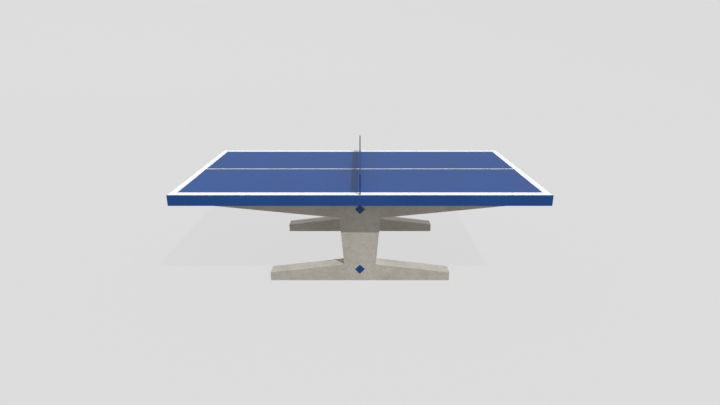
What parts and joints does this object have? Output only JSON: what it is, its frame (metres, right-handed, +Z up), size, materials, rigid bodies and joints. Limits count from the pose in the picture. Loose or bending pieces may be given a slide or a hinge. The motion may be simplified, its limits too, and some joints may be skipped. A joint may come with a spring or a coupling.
{
  "type": "ping pong table",
  "caption": "Permanent outdoor ping pong table: blue concrete top with white lines and a steel net, bolted on concrete leg frames that are joined by steel ties.",
  "frame": {"origin": "on the ground at the middle of the table, under the middle of the net", "axes": "+X along the table, +Y along the net towards the rear, +Z up"},
  "size_m": [2.74, 1.525, 0.9125],
  "materials": {
    "concrete": "fair-faced grey concrete, matt",
    "blue_coating": "smooth blue resin coating, satin gloss",
    "white_coating": "smooth white resin coating",
    "blue_steel": "blue powder coat on steel",
    "cap_plastic": "moulded blue plastic cap",
    "zinc_steel": "hot-dip galvanised steel",
    "bar_steel": "plain reinforcing bar with a thin brown film",
    "pad_rubber": "black rubber bearing pad"
  },
  "bodies": {
    "root": {"bearing_pads": "pad_rubber", "border_line": "white_coating", "centre_line": "white_coating", "edge_coating": "blue_coating", "front_frame_bars": "bar_steel", "front_leg_frame": "concrete", "front_tie_caps": "cap_plastic", "lower_tie_rod": "zinc_steel", "lower_tie_tube": "blue_steel", "net_legs": "blue_steel", "net_mortar": "concrete", "net_plate": "blue_steel", "net_sleeves": "zinc_steel", "net_studs": "zinc_steel", "playing_surface": "blue_coating", "rear_frame_bars": "bar_steel", "rear_leg_frame": "concrete", "rear_tie_caps": "cap_plastic", "slab_bolt_washers": "zinc_steel", "slab_bolts": "zinc_steel", "slab_core": "concrete", "slab_cross_bars": "bar_steel", "slab_long_bars": "bar_steel", "slab_sockets": "zinc_steel", "tie_end_plates": "blue_steel", "tie_nuts": "zinc_steel", "tie_washers": "zinc_steel", "upper_tie_rod": "zinc_steel", "upper_tie_tube": "blue_steel"}
  },
  "joints": []
}
